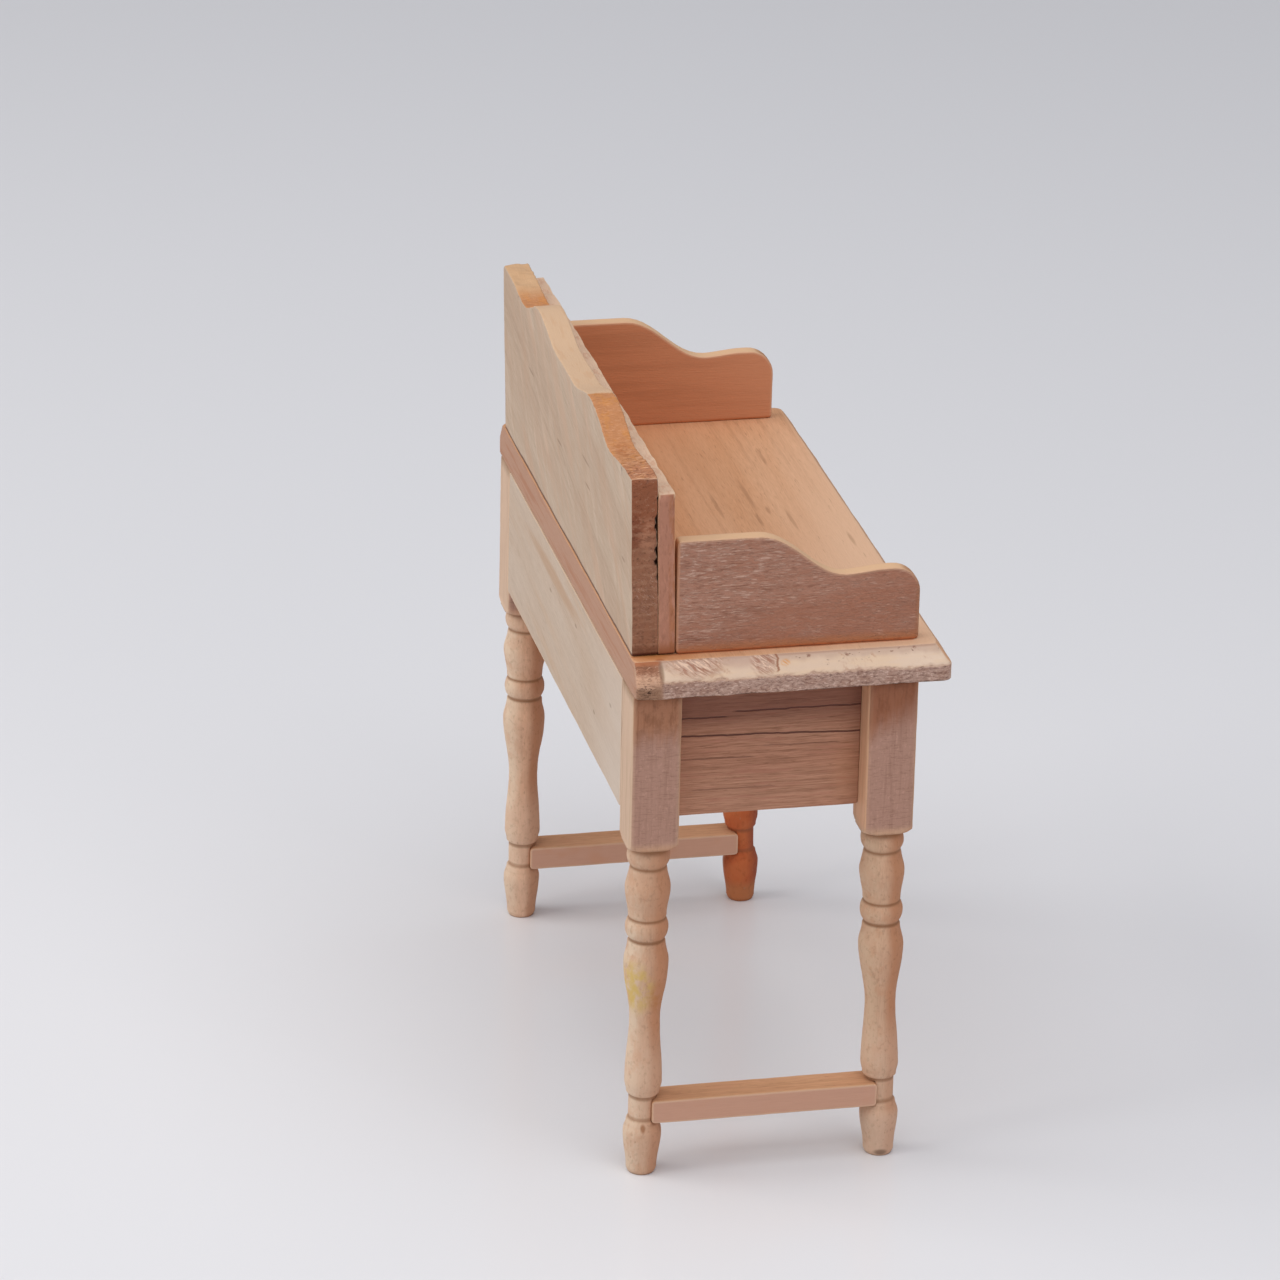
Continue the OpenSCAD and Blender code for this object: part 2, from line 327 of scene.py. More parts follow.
def slab(node, normal, material, body="table", name="", arris=0.25, corner=0.3, step=1.0, fill=1.6,
         thick_step=0.7, seed=1, wobble=0.05, grain=6.0, wear=None):
    """A board: the CAD face that looks along normal, given thickness and softened arrises."""
    flat, u, v, base = to_plane(face_outline(node, normal), normal)
    if sum(a.x * b.y - b.x * a.y for _, a, b in neighbours(flat)) < 0:
        flat.reverse()
    margin = arris + SOFT_EDGE
    outline = resample(round_corners(flat, max(corner, margin * 1.6)), step)
    count = len(outline)
    thick = base @ normal - min((c.co / MM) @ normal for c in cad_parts[node].data.vertices)
    # Each ring: its depth below the face, how far it is inset, and its edge mark
    rings = [(0.0, margin, 0.0)]
    for k in range(ARRIS_TURNS + 1):
        a = math.pi / 2 * k / ARRIS_TURNS
        rings.append((arris * (1 - math.cos(a)), arris * (1 - math.sin(a)), 1.0))
    flank = thick - 2 * margin
    middle = max(1, round(flank / thick_step))
    sides = [(margin + flank * k / middle, 0.0, 0.0) for k in range(middle + 1)]
    rings = rings + sides + [(thick - d, i, e) for d, i, e in reversed(rings)]

    def placed(p, depth):
        return base + u * p.x + v * p.y - normal * depth

    points, rims, edge = [], [], []
    for depth, shrink, mark in rings:
        points += [placed(p, depth) for p in inset(outline, shrink)]
        rims += [shrink] * count
        edge += [mark] * count
    faces = [(a, d, c, b) for a, b, c, d in cells(len(rings), count)]
    for ring, flip in ((0, False), (len(rings) - 1, True)):
        depth, shrink, _ = rings[ring]
        path = inset(outline, shrink)
        added = close_ring(path, ring, fill, flip, points, faces, lambda p: placed(p, depth))
        rims += [fill] * added
        edge += [0.0] * added
    marks = {"edge": edge}
    if wear:
        points, marks["scar"] = carve(points, rims, wear)
    make_piece(node, points, faces, body, material, seed, wobble, grain, marks, name)


def top_board(material):
    """The top: bevelled along the front and both ends, square at the back, torn and fuzzy at the ends."""
    lo, hi = box_mm("tabletop")
    nose = lo.z + NOSE_H
    drop = hi.z - nose
    arris = 0.3
    # Each ring: its height, its cut at the front and the ends, its cut at the back, and its edge mark
    levels = [(lo.z, 1.1, 0.8, 0.0), (lo.z, arris, 0.25, 1.0), (lo.z + 0.12, 0.1, 0.1, 1.0)]
    levels += [(lo.z + arris + (NOSE_H - 0.45) * k / 9, 0.0, 0.0, 0.0) for k in range(10)]
    levels += [(nose - 0.05, 0.02, 0.0, 0.6), (nose + 0.08, 0.09, 0.0, 1.0)]
    levels += [(nose + drop * t, BEVEL_RUN * t, 0.0, 0.0) for t in np.linspace(0.1, 0.94, 11)]
    levels += [(hi.z - 0.03, BEVEL_RUN - 0.02, 0.08, 1.0), (hi.z, BEVEL_RUN + 0.2, 0.25, 0.6),
               (hi.z, BEVEL_RUN + 0.8, 0.8, 0.0)]
    nx, ny = 120, 180
    count = 2 * (nx + ny)

    def rounded(p, x0, x1, y0, y1):
        """Rounds the ring's corners in plan, the front ones more."""
        r = 1.0 if p.y > 0 else 1.2
        centre = Vector((min(max(p.x, x0 + r), x1 - r), min(max(p.y, y0 + r), y1 - r), p.z))
        away = p - centre
        return centre + away.normalized() * r if abs(away.x) > 0 and abs(away.y) > 0 else p

    def ring(z, cut, back):
        x0, x1 = lo.x + cut, hi.x - cut
        y0, y1 = lo.y + cut, hi.y - back
        path = []
        for (_, a, b), n in zip(neighbours([(x0, y0), (x1, y0), (x1, y1), (x0, y1)]), (nx, ny, nx, ny)):
            path += [Vector((a[0] + (b[0] - a[0]) * k / n, a[1] + (b[1] - a[1]) * k / n, z))
                     for k in range(n)]
        return [rounded(p, x0, x1, y0, y1) for p in path]

    points, edge = [], []
    for z, cut, back, mark in levels:
        points += ring(z, cut, back)
        edge += [mark] * count
    faces = list(cells(len(levels), count))
    for r, flip in ((0, True), (len(levels) - 1, False)):
        z = levels[r][0]
        path = [Vector((p.x, p.y)) for p in points[r * count:(r + 1) * count]]
        added = close_ring(path, r, 1.4, flip, points, faces, lambda p: Vector((p.x, p.y, z)))
        edge += [0.0] * added
    points, scar = carve(points, edge, torn_end)
    make_piece("tabletop", points, faces, "table", material, 3, 0.07, 5.0,
               {"edge": edge, "scar": scar}, "top_board_wood")


def widest_radii(node, axis, digits):
    """How far a CAD node reaches from its middle line along an axis, by the place on that line."""
    centre = sum(box_mm(node), Vector()) / 2
    widest = {}
    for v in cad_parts[node].data.vertices:
        p = v.co / MM
        at = round(p[axis], digits)
        radius = math.hypot(*(p[i] - centre[i] for i in range(3) if i != axis))
        widest[at] = max(widest.get(at, 0), radius)
    return widest


def turned_outline():
    """Heights and radii of the turning, read from an upright CAD leg, from the foot up."""
    widest = widest_radii("leg_back_left", 2, 1)
    low, high = STRETCHER_NOTCH
    rising = [z for z in sorted(widest) if z < SHOULDER_Z - 0.05]
    kept = [z for z in rising if not low < z < high or widest[z] > 1.5]
    return kept, [widest[z] for z in kept]


def leg(node, row, material, seed):
    """One leg: the turning read from the frame, a rounded shoulder and a square post above it."""
    lo, hi = box_mm(node)
    half = (hi.x - lo.x) / 2
    cx = (lo.x + hi.x) / 2
    cy = hi.y - half
    lean = math.tan(FRONT_LEAN) if row < 0 else 0.0
    notch = box_mm("stretcher_left")
    heights, radii = turned_outline()
    square = []
    count = 96
    corner = half * math.sqrt(2) - POST_ARRIS * 0.6
    for k in range(count):
        t = math.radians(360 * k / count - 45)
        reach = half / max(abs(math.cos(t)), abs(math.sin(t)))
        square.append((t, min(reach, corner)))
    step = 0.3
    neck, crown = SHOULDER_Z - 0.1, SHOULDER_Z + DOME_H
    levels = [k * step for k in range(int(neck / step) + 1)] + [neck]
    levels += [SHOULDER_Z - 0.05 + DOME_H * k / 8 for k in range(9)]
    levels += [crown + 0.4 + (hi.z - crown - 0.4) * k / 36 for k in range(37)]
    points, groove, edge = [], [], []
    for z in levels:
        turning = z <= neck
        r0 = float(np.interp(z, heights, radii))
        nearby = np.interp([z - 0.55, z + 0.55], heights, radii).mean()
        dip = min(1.0, max(0.0, (nearby - r0) * 5.0)) if turning else 0.0
        swell = DOME_R0 + DOME_SWELL * math.sin(math.acos(max(0.0, 1 - max(0.0, z - SHOULDER_Z) / DOME_H)))
        shift = -max(0.0, SHOULDER_Z - z) * lean
        for t, reach in square:
            r = r0 if turning else min(reach, swell if z < crown else reach)
            inward = -row * math.sin(t)
            if notch[0].z < z < notch[1].z and inward > 0.05:
                r = min(r, STRETCHER_STOP / inward)
            points.append(Vector((cx + r * math.cos(t), cy + shift + r * math.sin(t), z)))
            groove.append(dip)
            edge.append(0.0 if turning else max(0.0, (r / half - 1.28) / 0.1))
    faces = list(cells(len(levels), count))
    bottom, last = len(points), len(points) - count
    points += [Vector((cx, cy - SHOULDER_Z * lean, 0)), Vector((cx, cy, hi.z))]
    groove += [0.0, 0.0]
    edge += [0.0, 0.0]
    for i in range(count):
        j = (i + 1) % count
        faces.append((bottom, j, i))
        faces.append((bottom + 1, last + i, last + j))
    make_piece(node, points, faces, "table", material, seed, 0.05, 3.5,
               {"edge": edge, "groove": groove})


def knob(node, body, material, seed):
    """A turned knob, its outline read from the CAD knob."""
    centre = sum(box_mm(node), Vector()) / 2
    widest = widest_radii(node, 1, 2)
    depths = sorted(widest)
    radii = [widest[y] for y in depths]
    count, rows = 40, 44
    points = []
    for k in range(rows):
        y = depths[0] + (depths[-1] - depths[0]) * (1 - math.cos(math.pi * k / (rows - 1))) / 2
        r = max(0.02, float(np.interp(y, depths, radii)))
        for i in range(count):
            t = math.tau * i / count
            points.append(Vector((centre.x + r * math.cos(t), y, centre.z + r * math.sin(t))))
    faces = [(b, a, d, c) for a, b, c, d in cells(rows, count)]
    faces.append(tuple(range(count)))
    faces.append(tuple(reversed(range((rows - 1) * count, rows * count))))
    make_piece(node, points, faces, body, material, seed, 0.02, 2.0, {})


# ---- wear carved into the boards

# Heights of the bigger holes in the glued joint between the two backboards, with their radii
JOINT_HOLES = ((90.3, 0.3), (89.3, 0.46), (87.9, 0.12), (86.2, 0.36), (84.65, 0.46), (82.6, 0.12))
JOINT_OPEN = (80.4, 93.1)


def gap_width(z, seed):
    """How wide the open part of the glued joint is at a height."""
    if not JOINT_OPEN[0] < z < JOINT_OPEN[1]:
        return 0.0
    ragged = 0.1 + 0.16 * max(0.0, noise(Vector((seed, 0, z / 0.55))))
    return ragged + sum(r * math.exp(-((z - at) / 0.42) ** 2) for at, r in JOINT_HOLES)


def open_joint(p, end, from_joint, seed):
    """How far a point beside the open joint is pushed towards the board's middle."""
    reach, width = 1.1, gap_width(p.z, seed)
    if end > reach or from_joint >= width:
        return 0.0
    return 0.85 * (reach - end) * (1 - from_joint / width) ** 0.5


def worn_outer_board(p, rim):
    """The outer backboard: an open joint at each end, and rough end grain where the crest falls."""
    end = box_mm("backboard_outer")[1].x - abs(p.x)
    from_joint = max(0.0, OUTER_T - (BACK_PLANE - p @ LEAN_BACK))
    push = open_joint(p, end, from_joint, 4.1)
    shift = Vector((-math.copysign(push, p.x), 0, 0))
    if rim < 0.3 and p.z > 93 and (p.x < -14 or p.x > 20):
        rough = bumpy(p, 5, (0.55, 2.0, 3.0)) + 0.6 * bumpy(p, 6, (0.4, 0.9, 3.0))
        shift.z -= 0.16 * (rough + 0.5)
    if rim < 0.3 and end < 0.3:
        shift.x -= math.copysign(0.05 * (bumpy(p, 7, (3, 0.8, 0.35)) + 0.5), p.x)
    return shift, push


def worn_inner_board(p, rim):
    """The inner backboard: a slightly ragged top edge."""
    shift = Vector((0, 0, 0))
    if p.z > box_mm("backboard_inner")[1].z - 0.7:
        shift.z -= 0.3 * max(0.0, bumpy(p, 8, (2.6, 9, 9)) + 0.15)
        shift.y -= 0.22 * max(0.0, bumpy(p, 9, (3.4, 9, 9)))
    return shift, 0.0


def torn_end(p, edge):
    """The top's two ends: torn fibres on the bevel and a fuzzy, speckled nose."""
    lo, hi = box_mm("tabletop")
    end = hi.x - abs(p.x)
    if end > BEVEL_RUN + 0.3:
        return Vector((0, 0, 0)), 0.0
    inward = -math.copysign(1.0, p.x)
    above = p.z - lo.z - NOSE_H
    if above > 0.1:
        with_tear, over_tear = p.y * 0.76 + p.z * 0.65, p.z * 0.76 - p.y * 0.65
        torn = noise(Vector((with_tear / 0.9, over_tear / 0.22, p.x * 0.1 + 3.7)))
        patchy = min(1.0, max(0.0, 2.2 * noise(Vector((p.y / 3.1, p.x * 0.2, 9.1))) + 0.25))
        amount = torn * patchy
        return Vector((inward * 0.09 * max(0.0, amount + 0.1), 0, -0.09 * max(0.0, amount))), amount
    fuzzy = bumpy(p, 10, (5, 0.8, 0.38)) + 0.6 * bumpy(p, 11, (5, 0.3, 0.24))
    wave = 0.22 * (1 + bumpy(p, 12, (5, 3.0, 5))) * (edge > 0.9 and above < -1.5)
    return Vector((inward * 0.075 * (fuzzy + 0.7), 0, wave)), fuzzy


# ---- wood

def along(axis, length, width):
    """Sizes of noise blobs, in millimetres, drawn out along the grain."""
    return tuple(length if i == axis else width for i in range(3))


class Wood:
    """A bare wood's node tree: layers of colour and height over each other, in the piece's millimetres."""

    def __init__(self, name, light, dark, axis, seed, turn=(0, 0, 0), bands=0.25, fibres=0.22, pores=0.3):
        self.material = bpy.data.materials.new(name)
        self.material.use_nodes = True
        self.tree = self.material.node_tree
        self.seed = seed
        coordinates = self.node("TexCoord").outputs
        self.normal = coordinates["Normal"]
        scale = self.node("VectorMath", coordinates["Object"], operation="SCALE")
        scale.inputs["Scale"].default_value = 1 / MM
        self.place = scale.outputs[0]
        self.colour = self.mix(self.patch(along(axis, 40, 6), 0.35, 0.65, turn=turn), light, dark)
        self.shade(self.patch(along(axis, 55, 0.85), 0.45, 0.7, 3, 0.6, 0.3, turn), 1 - bands)
        self.fibre = self.field(along(axis, 2.6, 0.17), rough=0.6, turn=turn)
        self.shade(self.ramp(self.fibre, 0.5, 0.72), 1 - fibres)
        self.shade(self.ramp(self.fibre, 0.5, 0.28), 1 + fibres * 0.6)
        pits = self.patch(along(axis, 1.2, 0.15), 0.66, 0.75, 1, turn=turn)
        self.shade(pits, 1 - pores)
        self.height = self.math("MULTIPLY", self.fibre, 0.7)
        self.lift(pits, -pores)

    def put(self, socket, value):
        if isinstance(value, bpy.types.NodeSocket):
            self.tree.links.new(value, socket)
        elif isinstance(value, tuple) and socket.type == "RGBA":
            socket.default_value = (*value, 1)
        else:
            socket.default_value = value

    def node(self, kind, *inputs, **settings):
        """A new shader node with its settings, and its first inputs filled in."""
        node = self.tree.nodes.new("ShaderNode" + kind)
        for label, value in settings.items():
            setattr(node, label, value)
        for socket, value in zip(node.inputs, inputs):
            self.put(socket, value)
        return node

    def math(self, kind, a, b=0.0):
        return self.node("Math", a, b, operation=kind).outputs[0]

    def vector(self, kind, a, b, output="Vector"):
        return self.node("VectorMath", a, b, operation=kind).outputs[output]

    def both(self, *masks):
        """Where all the masks are, given one by one or as a tuple."""
        if isinstance(masks[0], tuple):
            masks = masks[0]
        return functools.reduce(functools.partial(self.math, "MULTIPLY"), masks)

    def without(self, mask):
        return self.math("SUBTRACT", 1.0, mask)

    def field(self, size, detail=2, rough=0.55, distort=0.0, turn=(0, 0, 0)):
        """Noise from 0 to 1 whose blobs have the given sizes in millimetres, turned by the given angles."""
        place = self.node("Mapping", self.place, (0, 0, 0), turn, size, vector_type="TEXTURE")
        self.seed += 1.7
        node = self.node("TexNoise", place.outputs[0], self.seed, 1.0, detail, rough, noise_dimensions="4D")
        node.inputs["Distortion"].default_value = distort
        return node.outputs["Fac"]

    def ramp(self, value, low, high, to_low=0.0, to_high=1.0):
        """A soft step from to_low to to_high as the value goes from low to high."""
        if low > high:
            low, high, to_low, to_high = high, low, to_high, to_low
        node = self.node("MapRange", value, low, high, to_low, to_high, interpolation_type="SMOOTHSTEP")
        return node.outputs[0]

    def patch(self, size, low, high, *shape, **more):
        """Patches where a noise field goes from low to high."""
        return self.ramp(self.field(size, *shape, **more), low, high)

    def mix(self, factor, a, b, kind="MIX"):
        node = self.node("Mix", factor, data_type="RGBA", blend_type=kind)
        self.put(node.inputs[6], a)
        self.put(node.inputs[7], b)
        return node.outputs[2]

    def tint(self, mask, colour, amount=1.0):
        """Lays a colour over the wood where the mask, or all of several masks, is."""
        self.colour = self.mix(self.math("MULTIPLY", self.both(mask), amount), self.colour, colour)

    def shade(self, mask, factor):
        """Darkens or lightens the wood where the mask is. Darker is also warmer."""
        factors = (factor, factor ** 1.15, factor ** 1.3)
        self.colour = self.mix(self.both(mask), self.colour, factors, "MULTIPLY")

    def lift(self, mask, amount):
        """Raises the surface where the mask is."""
        self.height = self.math("ADD", self.height, self.math("MULTIPLY", self.both(mask), amount))

    def mark(self, label, low=0.0, high=1.0):
        """Where the piece's points carry a mark."""
        return self.ramp(self.node("Attribute", attribute_name=label).outputs["Fac"], low, high)

    def facing(self, direction, low=0.5, high=0.8, either=False):
        """Where the surface looks along a direction, or along it or its opposite."""
        dot = self.vector("DOT_PRODUCT", self.normal, direction, "Value")
        return self.ramp(self.math("ABSOLUTE", dot) if either else dot, low, high)

    def level(self, direction):
        """The place along a direction, in millimetres."""
        return self.vector("DOT_PRODUCT", self.place, direction, "Value")

    def ragged(self, direction, amount, size, *shape):
        """The place along a direction, made uneven by a noise field."""
        shift = self.math("MULTIPLY", self.field(size, *shape), amount)
        return self.math("ADD", self.level(direction), shift)

    def slope(self, direction, low, high):
        """From 0 to 1 as the place along a direction goes from low to high, in millimetres."""
        return self.ramp(self.level(direction), low, high)

    def distance(self, centre, size):
        """How far from a point, counted in the sizes given in millimetres."""
        offset = self.vector("DIVIDE", self.vector("SUBTRACT", self.place, centre), size)
        return self.vector("LENGTH", offset, (0, 0, 0), "Value")

    def near(self, centre, size):
        """1 around a point, falling to 0 at the half sizes given, in millimetres."""
        return self.ramp(self.distance(centre, size), 1.0, 0.35)

    def line(self, height, rise, width, ends):
        """A thin wavy line along a board that stands facing X: z is height + rise * y."""
        level = self.ragged((0, -rise, 1), -0.5, (9, 2.6, 9))
        off = self.math("ABSOLUTE", self.math("SUBTRACT", level, height - 0.25))
        kept = self.both(self.slope(Y, ends[0], ends[0] + 1.0), self.slope(Y, ends[1], ends[1] - 1.0))
        return self.both(self.ramp(off, width, width * 0.2), kept)

    def finish(self, relief=0.06):
        shader = self.tree.nodes["Principled BSDF"]
        self.put(shader.inputs["Base Color"], self.colour)
        self.put(shader.inputs["Roughness"], self.ramp(self.fibre, 0.25, 0.75, 0.62, 0.82))
        shader.inputs["Specular IOR Level"].default_value = 0.28
        bump = self.node("Bump")
        bump.inputs["Strength"].default_value = 0.9
        bump.inputs["Distance"].default_value = relief * MM
        self.put(bump.inputs["Height"], self.height)
        self.put(shader.inputs["Normal"], bump.outputs["Normal"])
        return self.material


CREAM = (0.51, 0.39, 0.29)
CREAM_DARK = (0.47, 0.34, 0.245)
TAN = (0.69, 0.39, 0.225)
TAN_DARK = (0.63, 0.33, 0.175)
PINK = (0.45, 0.225, 0.155)
PINK_DARK = (0.39, 0.185, 0.125)
GREY_PINK = (0.415, 0.23, 0.175)
ORANGE = (0.5, 0.205, 0.078)
RUST = (0.27, 0.085, 0.036)
BROWN = (0.29, 0.12, 0.064)
HOLE_SHADE = (0.045, 0.015, 0.008)
CONTACT_SHADE = (0.1, 0.03, 0.018)
PALE = (0.72, 0.51, 0.34)
BLEACHED = (0.73, 0.55, 0.415)
GROOVE_SHADE = (0.26, 0.115, 0.048)


def outer_board_wood():
    """Cream board with steep soft bands, orange end grain on the crest and dark rough ends."""
    w = Wood("wood_outer_board", CREAM, CREAM_DARK, 0, 1, (0, -0.2, 0), bands=0.08, fibres=0.07,
             pores=0.15)
    steep = (0, -0.75, 0)
    w.tint(w.patch((20, 4, 3), 0.46, 0.68, 3, 0.5, 0.5, turn=steep), (0.53, 0.35, 0.24), 0.55)
    w.shade(w.patch((12, 4, 2), 0.5, 0.28, 3, 0.5, 0.6, turn=(0, -0.95, 0)), 1.12)
    w.shade(w.patch((7, 4, 0.6), 0.56, 0.74, 3, 0.6, 0.8, turn=steep), 0.9)
    w.tint(w.patch((11, 4, 3.2), 0.5, 0.68, 3, 0.5, 0.5, turn=(0, -1.25, 0)), (0.46, 0.31, 0.21), 0.35)
    for x, z, length in ((-13.2, 87.8, 3.4), (-14.2, 84.7, 2.2), (-35.8, 83.4, 1.5),
            (3.5, 84, 2), (22, 87, 2.6)):
        w.shade(w.near((x, 20, z), (length, 3, 0.28)), 0.74)
    w.tint(w.mark("edge"), CREAM, 0.7)
    lo, hi = box_mm("backboard_outer")
    crest = w.both(w.facing(Z), w.slope(Z, lo.z + 10, lo.z + 15))
    place = w.ragged(X, -2, (1.5, 1.2, 9))
    near_end = w.ramp(place, -15, -15.6)
    ends = w.math("ADD", near_end, w.math("MULTIPLY", w.ramp(place, 18.5, 21.5), w.slope(X, 33, 27)))
    w.tint(crest, (0.62, 0.42, 0.27), 0.9)
    w.tint((crest, w.patch((3.5, 0.7, 9), 0.5, 0.66)), (0.56, 0.33, 0.19), 0.4)
    w.tint((crest, w.slope(X, 19, 24)), (0.56, 0.33, 0.165), 0.6)
    rough = w.both(crest, ends)
    w.tint(rough, ORANGE, 0.9)
    w.tint((rough, w.patch((2.2, 1.6, 9), 0.48, 0.62, 3, 0.6)), (0.56, 0.235, 0.07), 0.7)
    rust = w.near((-28.5, hi.y - 1.8, hi.z), (4.5, 1.6, 9))
    w.tint((rough, rust, w.patch((1.6, 1, 9), 0.42, 0.56)), (0.42, 0.145, 0.045), 0.7)
    w.tint((rough, w.slope(X, -32.5, -37), w.patch((2, 0.9, 9), 0.3, 0.5)), (0.44, 0.185, 0.1), 0.8)
    wrinkles = w.field((0.42, 1.9, 9), 3, 0.62, 2.6)
    deep = w.ramp(place, -26, -37, 0.3, 1)
    w.tint((rough, deep, w.ramp(wrinkles, 0.47, 0.36)), (0.72, 0.42, 0.27), 0.85)
    w.shade((rough, deep, w.ramp(wrinkles, 0.52, 0.64)), 0.45)
    w.lift((rough, deep, wrinkles), 2.2)
    w.tint((crest, near_end, w.slope(X, lo.x + 0.5, lo.x + 0.15)), (0.72, 0.47, 0.32), 0.8)
    end = w.facing(X, 0.6, 0.85, either=True)
    w.tint(end, BROWN)
    w.tint((end, w.patch((9, 1, 3), 0.42, 0.6)), (0.25, 0.105, 0.058), 0.8)
    height = w.ragged(Z, 4, (9, 1.3, 2))
    w.tint((end, w.ramp(height, hi.z - 8.5, hi.z - 5.5)), RUST, 0.85)
    w.tint((end, w.near((lo.x, hi.y - 0.6, hi.z - 9), (40, 1.5, 3.4))), (0.19, 0.05, 0.02), 0.75)
    w.tint((end, w.ramp(height, hi.z - 0.2, hi.z + 0.8)), (0.22, 0.1, 0.065), 0.8)
    arcs = w.distance((lo.x, hi.y - 2.2, hi.z + 5), (99, 1.6, 1))
    ring = w.math("ADD", arcs, w.math("MULTIPLY", w.field((9, 1.4, 1.2)), 1.4))
    lines = w.ramp(w.math("SINE", w.math("MULTIPLY", ring, 6)), 0, 1)
    faded = w.both(end, w.slope(Z, hi.z - 3, hi.z - 8), w.patch((9, 1.3, 0.8), 0.35, 0.6))
    w.tint((faded, lines), (0.38, 0.19, 0.11), 0.5)
    paler = w.near((lo.x, hi.y - 2.2, hi.z - 9.5), (99, 1.6, 3.4))
    w.tint((end, paler, w.patch((9, 1.1, 0.5), 0.36, 0.58)), (0.44, 0.195, 0.11), 0.7)
    scratches = w.field((9, 0.9, 0.14), 2, 0.6, 2.2, turn=(0.6, 0, 0))
    scratched = w.near((lo.x, hi.y - 2.4, lo.z + 8.5), (99, 2.4, 4.6))
    w.tint((end, scratched, w.ramp(scratches, 0.58, 0.66)), (0.6, 0.41, 0.32), 0.5)
    specks = w.field((0.22, 0.3, 0.22))
    w.shade((end, w.ramp(specks, 0.54, 0.72)), 0.62)
    w.tint((end, w.ramp(specks, 0.42, 0.28)), (0.47, 0.26, 0.17), 0.4)
    w.lift((end, specks), 1.5)
    w.shade((end, w.slope(Z, lo.z + 1.8, lo.z + 0.6)), 0.72)
    # Painted shade: a dark red line along the board's foot, where it meets the top.
    w.tint(w.slope(Z, lo.z + 0.6, lo.z + 0.3), CONTACT_SHADE, 0.85)
    # Painted shade: the open joint's gap and holes, where the scar mark is, are near black.
    w.tint(w.mark("scar", 0.04, 0.35), HOLE_SHADE)
    return w.finish()


def inner_board_wood():
    """Thin tan board with a smooth pinkish end and a pale upper edge."""
    w = Wood("wood_inner_board", TAN, TAN_DARK, 0, 11, bands=0.15)
    lo, hi = box_mm("backboard_inner")
    w.tint(w.facing(Z, 0.5, 0.85), BLEACHED, 0.7)
    w.tint((w.facing(Z, 0.5, 0.85), w.patch((1.6, 0.6, 9), 0.5, 0.62, 3, 0.6)), (0.62, 0.36, 0.24), 0.7)
    end = w.facing(X, 0.6, 0.85, either=True)
    w.tint(end, (0.44, 0.2, 0.13))
    face = BACK_PLANE - OUTER_T - INNER_T
    third = w.both(end, w.slope(LEAN_BACK, face + 1, face + 0.5))
    w.tint((third, w.patch((9, 0.8, 2.6), 0.38, 0.55)), (0.39, 0.15, 0.07), 0.9)
    w.shade((end, w.patch((0.25, 0.3, 1.1), 0.5, 0.7)), 0.84)
    w.shade((end, w.patch((0.25, 0.3, 0.8), 0.5, 0.34)), 1.12)
    w.tint((end, w.slope(Z, lo.z + 2.2, lo.z + 0.5)), (0.35, 0.13, 0.055), 0.8)
    # Painted shade: a dark red line along the board's foot, where it meets the top.
    w.tint(w.slope(Z, lo.z + 0.4, lo.z + 0.1), CONTACT_SHADE, 0.8)
    w.tint((w.mark("edge"), w.slope(Z, hi.z - 1, hi.z - 0.4)), PALE, 0.5)
    return w.finish()


